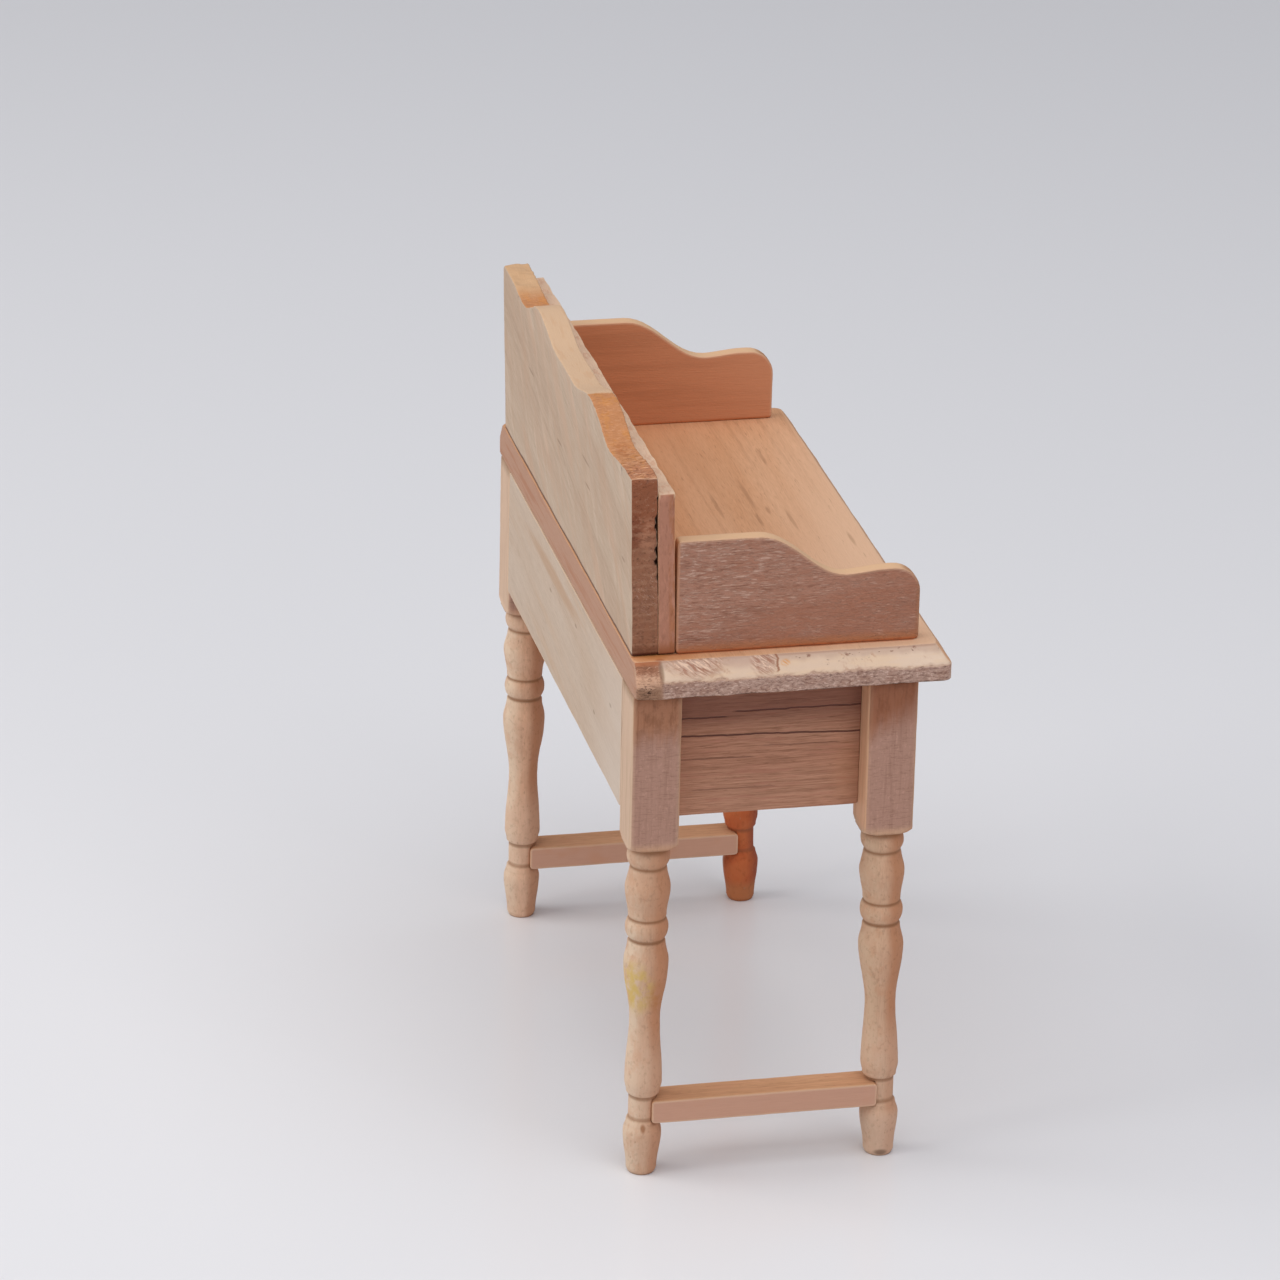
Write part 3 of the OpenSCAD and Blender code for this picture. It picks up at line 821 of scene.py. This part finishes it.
def top_wood():
    """Warm tan top, paler to the front, with short dark streaks, torn pale bevels and fuzzy brown noses."""
    w = Wood("wood_top", TAN, TAN_DARK, 0, 21, bands=0.12, fibres=0.12, pores=0.2)
    lo, hi = box_mm("tabletop")
    w.tint(w.slope((0.25, 1, 0), -6, 16), (0.61, 0.275, 0.125), 0.6)
    w.tint(w.slope((0.3, 1, 0), -2, -22), (0.74, 0.49, 0.33), 0.8)
    flecks = w.both(w.patch((4.2, 0.36, 9), 0.68, 0.76, 1), w.facing(Z))
    w.shade(flecks, 0.8)
    for x, y, length in ((8, -2, 6.5), (11, -6.8, 7.5), (2, -6.4, 3.2), (1.5, -10.6, 5),
            (5.2, -8.3, 1.8), (-6.3, -16.7, 3.2), (18, 2.6, 3.5), (-12, -9, 3),
            (24, -12, 4)):
        w.shade(w.near((x, y, hi.z), (length, 0.36, 2)), 0.78)
    gallery_out = -box_mm("gallery_left")[0].x
    from_middle = w.math("ABSOLUTE", w.level(X))
    beside = w.both(w.facing(Z), w.ramp(from_middle, gallery_out - 0.3, gallery_out + 0.1))
    w.shade(beside, 0.97)
    w.tint((beside, w.slope(Y, 10.5, 13.5)), (0.56, 0.25, 0.11), 0.7)
    # Painted shade: a dark red line on the top where it meets the gallery.
    contact = w.ramp(from_middle, gallery_out + 0.28, gallery_out + 0.02)
    w.tint((beside, contact, w.slope(Y, lo.y + 4.2, lo.y + 4.6)), (0.44, 0.12, 0.035), 0.9)
    # Painted shade in the corner where the outer backboard meets the top.
    corner = w.near((lo.x + BEVEL_RUN + 0.2, hi.y - OUTER_T, hi.z), (0.9, 0.8, 0.5))
    w.tint(corner, (0.34, 0.11, 0.045), 0.8)
    back = w.facing(Y)
    w.tint(back, (0.41, 0.24, 0.17), 0.85)
    w.tint((back, w.patch((18, 9, 0.7), 0.5, 0.66, 2, 0.6, 0.5)), (0.38, 0.155, 0.075), 0.6)
    w.tint(w.facing(-Y, 0.3, 0.6), (0.56, 0.29, 0.155), 0.7)
    middle = w.both(w.facing(Y, 0.3, 0.6), w.slope(Z, lo.z + 1, lo.z + 1.5),
                    w.slope(Z, hi.z - 1, hi.z - 1.5))
    w.tint((w.mark("edge", 0.3, 1), w.without(middle)), PALE, 0.3)
    end = w.facing(X, 0.35, 0.6, either=True)
    border = w.math("ADD", w.field((9, 2.4, 9)), w.math("MULTIPLY", w.field((9, 0.8, 0.3), 3), 0.8))
    rise = w.math("ADD", w.level(Z), border)
    low = lo.z + NOSE_H + 0.85
    nose = w.both(end, w.ramp(rise, low + 0.34, low - 0.3))
    bevel = w.both(end, w.without(nose))
    w.tint(bevel, BLEACHED)
    w.tint((bevel, w.slope(Y, -8, -20)), (0.78, 0.61, 0.48), 0.7)
    w.tint((bevel, w.patch((9, 5, 0.6), 0.46, 0.62)), (0.76, 0.56, 0.39), 0.6)
    upper = w.ragged(Z, 1.5, (9, 2.8, 9), 3)
    w.tint((bevel, w.ramp(upper, hi.z - 0.35, hi.z + 0.35)), (0.56, 0.39, 0.3), 0.75)
    w.tint((bevel, w.slope(Z, hi.z - 0.35, hi.z - 0.1)), (0.42, 0.235, 0.165), 0.6)
    strokes = w.field((9, 1.7, 0.3), 3, 0.55, 1.2, turn=(0.55, 0, 0))
    torn = w.math("MAXIMUM", w.near((lo.x, 12.2, hi.z - 0.6), (99, 4.6, 1.9)),
                  w.near((lo.x, 3.6, hi.z - 0.7), (99, 2.2, 1.9)))
    w.tint((bevel, torn), (0.56, 0.37, 0.285), 0.8)
    w.tint((bevel, w.near((lo.x, 6.6, hi.z - 0.5), (99, 3.2, 1.1))), (0.56, 0.38, 0.3), 0.6)
    w.tint((bevel, torn, w.ramp(strokes, 0.5, 0.58)), (0.38, 0.17, 0.105), 0.8)
    w.tint((bevel, torn, w.ramp(strokes, 0.46, 0.38)), (0.84, 0.6, 0.45), 0.9)
    w.tint((bevel, w.mark("scar", 0.1, 0.6)), (0.5, 0.27, 0.17), 0.5)
    orange = w.near((lo.x, 0.9, hi.z - 0.95), (99, 0.9, 0.5))
    w.tint((bevel, orange, w.ramp(strokes, 0.62, 0.42)), (0.7, 0.33, 0.12), 0.9)
    bent = w.ragged(Y, 1.6, (9, 9, 0.8))
    from_split = w.math("ABSOLUTE", w.math("SUBTRACT", bent, 2.9))
    split = w.both(w.ramp(from_split, 0.24, 0.05), w.slope(Z, hi.z - 2, hi.z - 1.7))
    w.tint((bevel, split), (0.3, 0.11, 0.05), 0.8)
    dots = w.both(w.patch((0.4, 0.6, 0.35), 0.68, 0.74, 1), w.slope(Z, hi.z - 1.5, hi.z - 0.6),
                  w.slope(Y, 1, -2))
    w.tint((bevel, dots), (0.16, 0.07, 0.045), 0.8)
    crumbs = w.patch((0.3, 0.34, 0.24), 0.4, 0.58)
    for y, drop, size in ((-2.1, 0.4, 0.5), (-4.4, 1.35, 0.42), (-7, 0.5, 0.55), (-12.8, 0.5, 0.32),
            (-13.8, 0.25, 0.34), (-15.7, 0.25, 0.42)):
        spot = w.near((lo.x, y, hi.z - drop), (6, size, size * 0.5))
        w.tint((bevel, spot, crumbs), (0.22, 0.09, 0.055), 0.75)
    w.tint(nose, (0.48, 0.31, 0.245))
    w.tint((nose, w.patch((9, 1.8, 1.2), 0.46, 0.62)), (0.36, 0.195, 0.14), 0.6)
    fuzz = w.field((0.34, 0.62, 0.25), 4, 0.72, 0.6)
    w.tint((nose, w.ramp(fuzz, 0.5, 0.62)), (0.16, 0.075, 0.052), 0.7)
    w.tint((nose, w.ramp(fuzz, 0.46, 0.36)), (0.72, 0.52, 0.43), 0.8)
    clots = w.both(w.patch((0.5, 0.7, 0.4), 0.6, 0.68), w.slope(Z, lo.z + 1, lo.z + 2.2))
    w.tint((nose, clots), (0.09, 0.042, 0.028), 0.65)
    w.tint((nose, w.slope(Z, lo.z + 0.9, lo.z + 0.2), w.ramp(fuzz, 0.52, 0.4)), (0.68, 0.47, 0.38), 0.6)
    w.lift((nose, fuzz), 2.2)
    w.lift((bevel, torn, strokes), 2.2)
    behind = w.both(end, w.slope(Y, hi.y - OUTER_T - 0.3, hi.y - OUTER_T + 0.5))
    w.tint(behind, (0.34, 0.15, 0.085))
    w.tint((behind, w.slope(Z, hi.z - 0.9, hi.z - 1.9)), (0.63, 0.375, 0.25), 0.9)
    creases = w.field((9, 0.8, 0.3), 4, 0.62, 1.6)
    w.shade((behind, w.ramp(creases, 0.48, 0.62)), 0.66)
    w.tint((behind, w.ramp(creases, 0.43, 0.32)), (0.7, 0.47, 0.33), 0.6)
    # Painted shade: a dark red line at the top of the end grain, under the backboards.
    w.tint((behind, w.slope(Z, hi.z - 0.6, hi.z - 0.2)), (0.44, 0.155, 0.065), 0.8)
    w.shade((behind, w.slope(Z, lo.z + 2, lo.z + 1.4)), 0.55)
    # Painted shade: a near-black hollow low in the end grain at the back.
    hollow = w.near((lo.x, hi.y - 1.3, lo.z + 1.5), (99, 1.3, 1))
    w.tint((end, hollow, w.ramp(creases, 0.5, 0.56)), HOLE_SHADE, 0.9)
    w.shade((end, w.near((lo.x, hi.y - OUTER_T, lo.z + 3.4), (99, 0.45, 1.6))), 0.6)
    under = w.near((lo.x + 4, hi.y - 2.8, hi.z), (2.3, 3, 0.6))
    w.tint(under, (0.52, 0.2, 0.06), 0.8)
    return w.finish(relief=0.07)


def gallery_wood(side):
    """Pinkish outside with raised pale fibres, smooth orange inside, pale sanded edges."""
    lo, hi = box_mm(f"gallery_{side}")
    outward = X if side == "right" else -X
    w = Wood(f"wood_gallery_{side}", PINK, PINK_DARK, 1, 31 + hi.x, bands=0.12, fibres=0.12, pores=0.12)
    inside = w.facing(-outward)
    w.tint(inside, (0.53, 0.2, 0.088), 0.9)
    w.shade((inside, w.patch((9, 28, 2.2), 0.48, 0.64, 2, 0.6, 0.3)), 0.88)
    w.tint((inside, w.slope((0, -0.8, 0.6), lo.z * 0.6 - 6, hi.z * 0.6 + 8)), (0.62, 0.27, 0.145), 0.7)
    outside = w.facing(outward)
    hair = w.field((0.3, 1.15, 0.135), 3, 0.62, 0.5)
    worn = w.ramp(w.math("ADD", w.field((9, 6, 3)), w.slope((0, 0.55, 0.83), 58, 88)), -0.35, 1.1)
    raised = w.both(outside, w.ramp(hair, 0.52, 0.6))
    w.tint((raised, worn), (0.7, 0.47, 0.37), 0.6)
    w.shade((outside, w.ramp(hair, 0.48, 0.38)), 0.64)
    w.tint((outside, w.patch((9, 3, 1.6), 0.52, 0.66, 3, 0.6)), (0.42, 0.185, 0.115), 0.45)
    w.shade((outside, w.patch((9, 7, 0.9), 0.52, 0.68, 2, 0.6, 0.5)), 0.92)
    w.lift(raised, 0.8)
    lower = w.slope((0, 0.4, 0.92), 77, 68)
    w.tint((outside, lower, w.patch((9, 6, 3), 0.35, 0.6)), (0.41, 0.165, 0.095), 0.5)
    w.tint((outside, w.slope(Z, lo.z + 1.7, lo.z + 0.4)), (0.5, 0.2, 0.085), 0.7)
    w.tint(w.facing(Z, 0.45, 0.8), (0.7, 0.45, 0.27))
    # Painted light: the back face is a light warm orange, against the shade in the gap beside the inner
    # board.
    w.tint(w.facing(Y), (0.6, 0.29, 0.14), 0.8)
    w.tint(w.facing(-Y, 0.6, 0.9), (0.46, 0.2, 0.09), 0.8)
    w.tint((w.facing((0, -0.8, 0.6), 0.75, 0.95), w.slope(Y, lo.y + 6, lo.y + 3)), (0.42, 0.2, 0.1), 0.8)
    w.tint(w.mark("edge"), (0.62, 0.38, 0.25), 0.4)
    w.tint((outside, w.slope(Y, lo.y + 0.7, lo.y + 0.25)), (0.36, 0.145, 0.07), 0.6)
    # Painted light on the outer face's back edge, against the shade of the same gap.
    w.tint((outside, w.slope(Y, hi.y - 0.45, hi.y - 0.15)), (0.52, 0.22, 0.12), 0.5)
    # Painted shade: a dark orange-red line along the gallery's foot, where it meets the top.
    w.tint(w.slope(Z, lo.z + 0.5, lo.z + 0.2), (0.48, 0.14, 0.045), 0.85)
    return w.finish(relief=0.07)


def apron_wood():
    """Straight-grained board with painted shade from the top's overhang towards its top, and two long
    cracks.
    """
    lo, hi = box_mm("apron_left")
    w = Wood("wood_apron", (0.48, 0.245, 0.155), (0.44, 0.21, 0.13), 1, 41, bands=0.1, fibres=0.2,
             pores=0.25)
    fine = w.field((0.3, 5, 0.25), 3, 0.65, 0.3)
    w.shade((w.ramp(fine, 0.5, 0.66), w.slope(Z, lo.z - 12, hi.z - 2)), 0.66)
    w.shade(w.ramp(fine, 0.44, 0.32), 1.1)
    w.shade(w.patch((0.3, 11, 0.15), 0.5, 0.6, 2, 0.6), 0.84)
    w.tint(w.patch((0.3, 7, 0.5), 0.52, 0.66, 3, 0.6), (0.42, 0.175, 0.115), 0.5)
    # Painted shade from the top's overhang: the upper part of the apron is darker and redder.
    w.shade(w.slope(Z, hi.z - 8, hi.z - 4), 0.76)
    w.tint(w.slope(Z, hi.z - 7.5, hi.z - 3.8), (0.17, 0.06, 0.042), 0.6)
    w.tint(w.near((0, hi.y - 2, lo.z + 8), (60, 3, 10)), (0.36, 0.165, 0.1), 0.5)
    w.tint(w.near((0, lo.y + 1, lo.z + 5), (60, 5, 8)), (0.5, 0.24, 0.125), 0.6)
    # Each crack: its height and rise, its width, where along Y it starts and ends, and how deep it is
    for height, rise, width, ends, depth in (
            (59.65, 0.034, 0.17, (-11, 14), 0.9), (62.45, 0, 0.14, (6.6, 14), 0.85),
            (63, 0.01, 0.14, (-11, 6.6), 0.85), (56.6, 0.02, 0.12, (3, 14), 0.4),
            (58.1, 0.02, 0.12, (-8, 3), 0.35), (52.4, 0.02, 0.12, (0, 12), 0.3)):
        crack = w.line(height, rise, width, ends)
        w.tint(crack, (0.085, 0.025, 0.02), depth)
        w.lift(crack, -2.5 * depth)
    return w.finish()


def panel_wood():
    """Cream back panel with a tan streak that runs a little downhill."""
    w = Wood("wood_panel", (0.55, 0.435, 0.34), (0.52, 0.39, 0.29), 0, 51, (0, -0.1, 0), bands=0.08,
             fibres=0.08, pores=0.15)
    streak = w.near((4, 20, 64.2), (26, 3, 1.5))
    w.tint((streak, w.patch((16, 9, 1.2), 0.35, 0.55)), (0.47, 0.3, 0.19), 0.75)
    w.tint(w.patch((30, 9, 2.4), 0.52, 0.7, 2, turn=(0, -0.12, 0)), (0.53, 0.37, 0.25), 0.5)
    w.tint(w.slope(X, -14, -34), (0.62, 0.52, 0.44), 0.5)
    for x, z in ((-29.5, 61), (8, 61.5), (-20, 56), (-8, 63)):
        w.shade(w.near((x, 20, z), (0.9, 3, 0.35)), 0.72)
    w.tint(w.mark("edge"), PALE, 0.4)
    return w.finish()


def leg_wood(name, side, row):
    """Pale turned wood with painted light on its +Y side and painted shade on its -Y side, the front right
    leg painted as if in shade, grey-pink posts, stains, and painted shade in the grooves, under the
    shoulders and under the top.
    """
    lo, hi = box_mm(name)
    # The front right leg is painted as if it stood in shade: darker, more orange wood and rust-coloured
    # grooves.
    painted_shade_leg = side > 0 and row < 0
    light, dark = (0.63, 0.4, 0.265), (0.58, 0.35, 0.225)
    if painted_shade_leg:
        light, dark = (0.6, 0.345, 0.2), (0.55, 0.29, 0.15)
    elif side > 0:
        light, dark = (0.78, 0.5, 0.34), (0.71, 0.42, 0.27)
    w = Wood(f"wood_{name}", light, dark, 2, 121 + 10 * side + 3 * row, bands=0.1, fibres=0.1, pores=0.15)
    turned = w.slope(Z, SHOULDER_Z + 1.6, SHOULDER_Z + 0.2)
    mottled = w.patch((1.4, 1.4, 2.2), 0.44, 0.62, 3, 0.6)
    # Painted light: the turned part is paler on its +Y side, which faces the key light.
    w.tint((turned, w.facing(Y, 0.1, 0.9)), (0.71, 0.57, 0.425) if row > 0 else (0.65, 0.46, 0.31), 0.75)
    w.tint((turned, mottled), (0.58, 0.33, 0.21), 0.4)
    # Painted shade: the turned part's -Y side is darker and more orange-brown.
    w.tint((turned, w.facing(-Y, -0.12, 0.45)), (0.48, 0.22, 0.115), 0.95)
    blotches = w.patch((2, 2, 3), 0.5, 0.64, 3, 0.65)
    w.tint((turned, blotches), (0.56, 0.27, 0.145), 0.35 if side < 0 else 0.15)
    if side < 0 and row > 0:
        w.tint((turned, w.slope(Z, 33, 38)), (0.52, 0.275, 0.165), 0.35)
    w.tint((turned, w.slope(Z, 7.5, 5.5)), (0.74, 0.53, 0.4), 0.45 if row < 0 else 0.15)
    w.tint((turned, w.slope(Z, 22, 15), w.slope(Z, 5, 9)), (0.74, 0.52, 0.38), 0.35)
    if painted_shade_leg:
        # Painted shade on its -X side: dark orange-red, darkest where it also faces -Y, with a lighter
        # orange foot.
        shaded_side = w.both(turned, w.facing(-X, -0.25, 0.3))
        w.tint(shaded_side, (0.48, 0.1, 0.024), 0.95)
        w.tint((shaded_side, w.patch((3, 3, 4), 0.46, 0.6)), (0.54, 0.15, 0.048), 0.6)
        w.tint((shaded_side, w.facing(-Y, 0.1, 0.8)), (0.26, 0.055, 0.025), 0.75)
        w.tint((shaded_side, w.slope(Z, 4, 1.8)), (0.46, 0.18, 0.07), 0.7)
    w.shade((turned, w.patch((0.5, 0.5, 0.7), 0.52, 0.68, 3, 0.6)), 0.86)
    w.tint(w.patch((0.35, 0.35, 0.9), 0.71, 0.78, 1), (0.36, 0.19, 0.11), 0.5)
    square = w.without(turned)
    cheek = w.both(square, w.facing(X, either=True))
    w.tint(cheek, GREY_PINK, 0.9)
    w.shade((cheek, w.patch((9, 1.1, 0.16), 0.5, 0.66, 3, 0.65, 0.5)), 0.8)
    w.shade((cheek, w.patch((9, 0.3, 0.55), 0.46, 0.34, 3, 0.6)), 1.12)
    w.tint((square, w.facing(Y)), (0.6, 0.43, 0.31) if row > 0 else (0.74, 0.43, 0.26), 0.85)
    w.tint((square, w.facing(-Y)), (0.52, 0.28, 0.16), 0.7)
    w.shade((square, w.patch((1.1, 1.1, 30), 0.48, 0.66, 3, 0.6, 0.4)), 0.86)
    w.shade((square, w.patch((0.3, 0.3, 6), 0.52, 0.7)), 0.9)
    height = w.ragged((0, 0.62, 0.78) if row < 0 else Z, 3.6, (0.7, 0.7, 5), 3, 0.6)
    start = 41 if row < 0 else 62.6
    stain = w.both(cheek, w.ramp(height, start - 0.8, start + 3))
    w.tint(stain, (0.38, 0.165, 0.085) if row > 0 else (0.34, 0.13, 0.062), 0.88)
    w.shade((stain, w.patch((0.4, 0.4, 3), 0.5, 0.68, 3)), 0.8)
    w.shade((stain, w.patch((9, 1.2, 1.6), 0.48, 0.62, 3, 0.65)), 0.8)
    # Painted shade under the top: the front posts' cheeks darken over their upper part, and every post
    # darkens in its last 1.6 mm.
    if row < 0:
        w.tint((cheek, w.slope(Z, hi.z - 8, hi.z - 3.5)), (0.25, 0.085, 0.04), 0.45)
    w.shade((square, w.slope(Z, hi.z - 1.6, hi.z)), 0.7)
    if name == "leg_back_left":
        blotch = w.patch((1.3, 1.3, 1.5), 0.34, 0.62, 3, 0.6)
        w.tint((w.near((lo.x + 1, hi.y - 1.2, 26.8), (4.5, 3.2, 5)), blotch), (0.64, 0.44, 0.11), 0.85)
        w.tint(w.near((lo.x + 1, hi.y - 2.8, 6.9), (2, 0.45, 0.8)), (0.33, 0.14, 0.06), 0.8)
        w.tint((w.near((lo.x + 1.4, lo.y + 2.2, 25.6), (4, 1.8, 2.8)), blotch), (0.45, 0.18, 0.05), 0.55)
    if name == "leg_front_left":
        w.tint(w.near((lo.x + 1, lo.y + 2.5, 0.6), (3, 1.2, 0.6)), (0.2, 0.11, 0.07), 0.8)
    # Painted shade in the turning's grooves, where the leg dips below its neighbours, and in a crescent
    # under the shoulder.
    w.tint(w.mark("groove"), RUST if painted_shade_leg else GROOVE_SHADE, 0.8)
    under_post = w.slope(Z, SHOULDER_Z + 0.5, SHOULDER_Z)
    w.tint((w.slope(Z, SHOULDER_Z - 1, SHOULDER_Z - 0.2), under_post), GROOVE_SHADE, 0.6)
    w.tint(w.mark("edge"), PALE if row > 0 else (0.6, 0.37, 0.24), 0.25)
    return w.finish()


def stretcher_wood():
    """Tan on top, pinkish on the flanks."""
    w = Wood("wood_stretcher", (0.66, 0.37, 0.21), (0.6, 0.32, 0.175), 1, 61, bands=0.1, fibres=0.14,
             pores=0.25)
    w.tint(w.facing(X, either=True), (0.58, 0.325, 0.235), 0.85)
    w.tint(w.patch((3, 5, 3), 0.5, 0.68), (0.58, 0.28, 0.16), 0.4)
    w.tint(w.mark("edge"), PALE, 0.4)
    return w.finish()


def plain_wood(name, light, dark, axis, seed):
    """A wood with the same look all over its board, and darker end grain."""
    w = Wood(name, light, dark, axis, seed)
    w.tint(w.facing((X, Y, Z)[axis], 0.6, 0.85, either=True), BROWN, 0.35)
    w.tint(w.mark("edge"), PALE, 0.5)
    return w.finish()


# ---- assembly

place_camera()
place_studio()

frame_wood = plain_wood("wood_front_frame", TAN, TAN_DARK, 0, 71)
stile_wood = plain_wood("wood_front_stile", TAN, TAN_DARK, 2, 76)
inside_wood = plain_wood("wood_inside", CREAM, TAN, 0, 81)
drawer_wood = plain_wood("wood_drawer_front", TAN, TAN_DARK, 0, 91)
box_wood = plain_wood("wood_drawer_box", CREAM, TAN, 1, 101)
knob_wood = plain_wood("wood_knob", TAN, TAN_DARK, 1, 111)
stretchers = stretcher_wood()
aprons = apron_wood()

top_board(top_wood())
slab("backboard_outer", LEAN_BACK, outer_board_wood(), name="outer_backboard", arris=0.2,
     corner=0.4, step=0.3, thick_step=0.2, seed=5, wobble=0.07, wear=worn_outer_board)
slab("backboard_inner", LEAN_BACK, inner_board_wood(), name="inner_backboard", arris=0.15,
     step=0.5, thick_step=0.4, seed=6, wear=worn_inner_board)
for side, sign in (("left", -1), ("right", 1)):
    slab(f"gallery_{side}", X * sign, gallery_wood(side), arris=0.22, step=0.5,
         thick_step=0.4, seed=8 + sign)
    slab(f"apron_{side}", X * sign, aprons, arris=0.12, fill=0.9, seed=12 + sign,
         wobble=0.06, grain=3)
    slab(f"stretcher_{side}", X * sign, stretchers, arris=0.15, step=0.6, fill=0.9,
         seed=15 + sign)
    for row, depth in (("front", -1), ("back", 1)):
        post = f"leg_{row}_{side}"
        leg(post, depth, leg_wood(post, sign, depth), 20 + 2 * sign + depth)
slab("back_panel", Y, panel_wood(), arris=0.12, seed=31)
for n, rail in enumerate(("front_rail_top", "front_rail_bottom")):
    slab(rail, -Y, frame_wood, arris=0.15, seed=33 + n)
slab("front_stile", -Y, stile_wood, arris=0.15, seed=35)
slab("centre_partition", X, inside_wood, arris=0.12, fill=3, seed=37)
slab("drawer_floor", -Z, inside_wood, arris=0.12, fill=3, seed=38)
for side, sign in (("left", -1), ("right", 1)):
    body = f"drawer_{side}"
    slab(f"{body}_front", Y, drawer_wood, body, arris=0.3, seed=41 + sign)
    for part, normal, wood in (("side_outer", X * sign, box_wood), ("side_inner", -X * sign, box_wood),
            ("back", Y, inside_wood), ("bottom", -Z, inside_wood)):
        slab(f"{body}_{part}", normal, wood, body, arris=0.12, fill=3, seed=45 + sign)
    knob(f"{body}_knob", body, knob_wood, 55 + sign)
